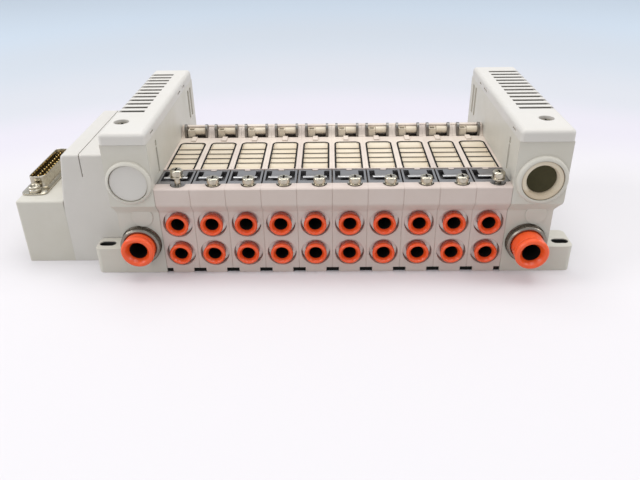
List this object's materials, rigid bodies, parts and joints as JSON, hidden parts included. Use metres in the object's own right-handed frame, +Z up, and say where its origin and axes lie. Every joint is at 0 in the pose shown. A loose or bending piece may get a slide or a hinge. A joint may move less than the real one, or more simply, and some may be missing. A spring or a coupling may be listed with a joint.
{
  "type": "pneumatic valve island",
  "caption": "Row of plug-in pneumatic valve stations without valves, with push-in tube ports, louvred silencer end blocks and a multi-pole connector unit.",
  "frame": {"origin": "centre of the four foot slots, on the underside", "axes": "+X along the row of stations, away from the connector unit; +Y from the tube ports towards the rear; +Z up"},
  "size_m": [0.2652, 0.1145, 0.0722],
  "materials": {
    "grey_plastic": "warm light grey moulded plastic, fine satin",
    "white_plastic": "white moulded plastic, satin",
    "cream_plastic": "cream moulded plastic",
    "silencer": "porous silencer block",
    "rubber": "black nitrile rubber",
    "clamp_steel": "zinc-plated pressed steel",
    "plated_steel": "bright nickel-plated steel",
    "brass": "nickel-plated brass",
    "gold": "gold-plated contacts",
    "black_plastic": "black glass-filled plastic",
    "orange_plastic": "orange-red moulded plastic, semi-gloss"
  },
  "bodies": {
    "root": {"station_block_01": "grey_plastic", "station_block_02": "grey_plastic", "station_block_03": "grey_plastic", "station_block_04": "grey_plastic", "station_block_05": "grey_plastic", "station_block_06": "grey_plastic", "station_block_07": "grey_plastic", "station_block_08": "grey_plastic", "station_block_09": "grey_plastic", "station_block_10": "grey_plastic", "end_block_left": "grey_plastic", "end_block_right": "grey_plastic", "mounting_feet": "grey_plastic", "connector_housing": "grey_plastic", "silencer_cover_left": "white_plastic", "silencer_cover_right": "white_plastic", "wiring_cover": "white_plastic", "exhaust_port_plug": "white_plastic", "exhaust_port_sleeve": "cream_plastic", "valve_sockets": "cream_plastic", "silencer_element_left": "silencer", "silencer_element_right": "silencer", "valve_gaskets": "rubber", "port_seals": "rubber", "valve_clamp_plates": "clamp_steel", "valve_hook_brackets": "clamp_steel", "valve_clamp_screws": "plated_steel", "silencer_cover_screws": "plated_steel", "supply_cartridges": "plated_steel", "dsub_shell": "plated_steel", "dsub_jack_posts": "plated_steel", "tie_rods": "plated_steel", "tie_rod_nuts": "plated_steel", "port_cartridges": "brass", "dsub_pins": "gold", "socket_contacts": "gold", "dsub_insert": "black_plastic"},
    "release_collar_a_01": {"release_collar_a_01": "orange_plastic"},
    "release_collar_a_02": {"release_collar_a_02": "orange_plastic"},
    "release_collar_a_03": {"release_collar_a_03": "orange_plastic"},
    "release_collar_a_04": {"release_collar_a_04": "orange_plastic"},
    "release_collar_a_05": {"release_collar_a_05": "orange_plastic"},
    "release_collar_a_06": {"release_collar_a_06": "orange_plastic"},
    "release_collar_a_07": {"release_collar_a_07": "orange_plastic"},
    "release_collar_a_08": {"release_collar_a_08": "orange_plastic"},
    "release_collar_a_09": {"release_collar_a_09": "orange_plastic"},
    "release_collar_a_10": {"release_collar_a_10": "orange_plastic"},
    "release_collar_b_01": {"release_collar_b_01": "orange_plastic"},
    "release_collar_b_02": {"release_collar_b_02": "orange_plastic"},
    "release_collar_b_03": {"release_collar_b_03": "orange_plastic"},
    "release_collar_b_04": {"release_collar_b_04": "orange_plastic"},
    "release_collar_b_05": {"release_collar_b_05": "orange_plastic"},
    "release_collar_b_06": {"release_collar_b_06": "orange_plastic"},
    "release_collar_b_07": {"release_collar_b_07": "orange_plastic"},
    "release_collar_b_08": {"release_collar_b_08": "orange_plastic"},
    "release_collar_b_09": {"release_collar_b_09": "orange_plastic"},
    "release_collar_b_10": {"release_collar_b_10": "orange_plastic"},
    "supply_collar_left": {"supply_collar_left": "orange_plastic"},
    "supply_collar_right": {"supply_collar_right": "orange_plastic"}
  },
  "joints": [
    {"name": "release_collar_a_01_press", "type": "slide", "parent": "root", "child": "release_collar_a_01", "axis": [0, 1, 0], "range_m": [0, 0.0014]},
    {"name": "release_collar_a_02_press", "type": "slide", "parent": "root", "child": "release_collar_a_02", "axis": [0, 1, 0], "range_m": [0, 0.0014]},
    {"name": "release_collar_a_03_press", "type": "slide", "parent": "root", "child": "release_collar_a_03", "axis": [0, 1, 0], "range_m": [0, 0.0014]},
    {"name": "release_collar_a_04_press", "type": "slide", "parent": "root", "child": "release_collar_a_04", "axis": [0, 1, 0], "range_m": [0, 0.0014]},
    {"name": "release_collar_a_05_press", "type": "slide", "parent": "root", "child": "release_collar_a_05", "axis": [0, 1, 0], "range_m": [0, 0.0014]},
    {"name": "release_collar_a_06_press", "type": "slide", "parent": "root", "child": "release_collar_a_06", "axis": [0, 1, 0], "range_m": [0, 0.0014]},
    {"name": "release_collar_a_07_press", "type": "slide", "parent": "root", "child": "release_collar_a_07", "axis": [0, 1, 0], "range_m": [0, 0.0014]},
    {"name": "release_collar_a_08_press", "type": "slide", "parent": "root", "child": "release_collar_a_08", "axis": [0, 1, 0], "range_m": [0, 0.0014]},
    {"name": "release_collar_a_09_press", "type": "slide", "parent": "root", "child": "release_collar_a_09", "axis": [0, 1, 0], "range_m": [0, 0.0014]},
    {"name": "release_collar_a_10_press", "type": "slide", "parent": "root", "child": "release_collar_a_10", "axis": [0, 1, 0], "range_m": [0, 0.0014]},
    {"name": "release_collar_b_01_press", "type": "slide", "parent": "root", "child": "release_collar_b_01", "axis": [0, 1, 0], "range_m": [0, 0.0014]},
    {"name": "release_collar_b_02_press", "type": "slide", "parent": "root", "child": "release_collar_b_02", "axis": [0, 1, 0], "range_m": [0, 0.0014]},
    {"name": "release_collar_b_03_press", "type": "slide", "parent": "root", "child": "release_collar_b_03", "axis": [0, 1, 0], "range_m": [0, 0.0014]},
    {"name": "release_collar_b_04_press", "type": "slide", "parent": "root", "child": "release_collar_b_04", "axis": [0, 1, 0], "range_m": [0, 0.0014]},
    {"name": "release_collar_b_05_press", "type": "slide", "parent": "root", "child": "release_collar_b_05", "axis": [0, 1, 0], "range_m": [0, 0.0014]},
    {"name": "release_collar_b_06_press", "type": "slide", "parent": "root", "child": "release_collar_b_06", "axis": [0, 1, 0], "range_m": [0, 0.0014]},
    {"name": "release_collar_b_07_press", "type": "slide", "parent": "root", "child": "release_collar_b_07", "axis": [0, 1, 0], "range_m": [0, 0.0014]},
    {"name": "release_collar_b_08_press", "type": "slide", "parent": "root", "child": "release_collar_b_08", "axis": [0, 1, 0], "range_m": [0, 0.0014]},
    {"name": "release_collar_b_09_press", "type": "slide", "parent": "root", "child": "release_collar_b_09", "axis": [0, 1, 0], "range_m": [0, 0.0014]},
    {"name": "release_collar_b_10_press", "type": "slide", "parent": "root", "child": "release_collar_b_10", "axis": [0, 1, 0], "range_m": [0, 0.0014]},
    {"name": "supply_collar_left_press", "type": "slide", "parent": "root", "child": "supply_collar_left", "axis": [0, 1, 0], "range_m": [-0.0033, 0.0002]},
    {"name": "supply_collar_right_press", "type": "slide", "parent": "root", "child": "supply_collar_right", "axis": [0, 1, 0], "range_m": [0, 0.0035]}
  ]
}
